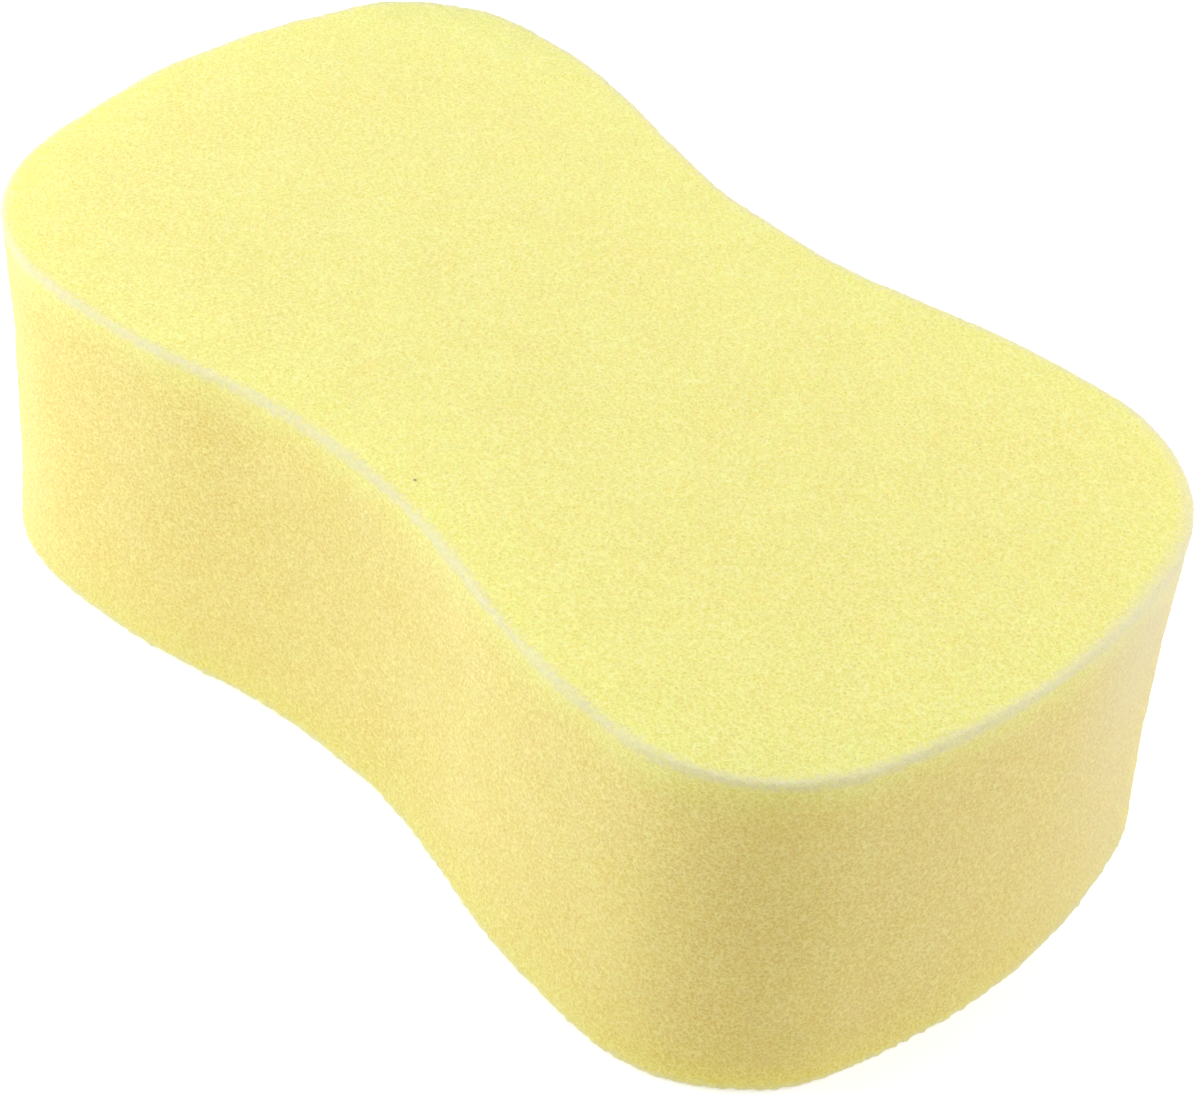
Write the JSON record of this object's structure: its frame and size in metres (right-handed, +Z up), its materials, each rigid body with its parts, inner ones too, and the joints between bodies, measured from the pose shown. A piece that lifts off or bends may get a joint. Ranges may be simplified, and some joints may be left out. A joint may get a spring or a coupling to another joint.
{
  "type": "foam sponge block",
  "caption": "Waisted hand-held foam sponge: one thick block of open-cell foam with two broad lobes, bowed ends, rounded corners and flat top and bottom faces.",
  "frame": {"origin": "middle of the flat bottom face", "axes": "+X along the block from lobe to lobe, +Y across it, +Z up through the thickness"},
  "size_m": [0.22, 0.121, 0.072],
  "materials": {
    "open_cell_foam": "soft matt open-cell polyurethane foam in pale lemon, fine-pored, with paler cut edges"
  },
  "bodies": {
    "root": {"foam_block": "open_cell_foam"}
  },
  "joints": []
}
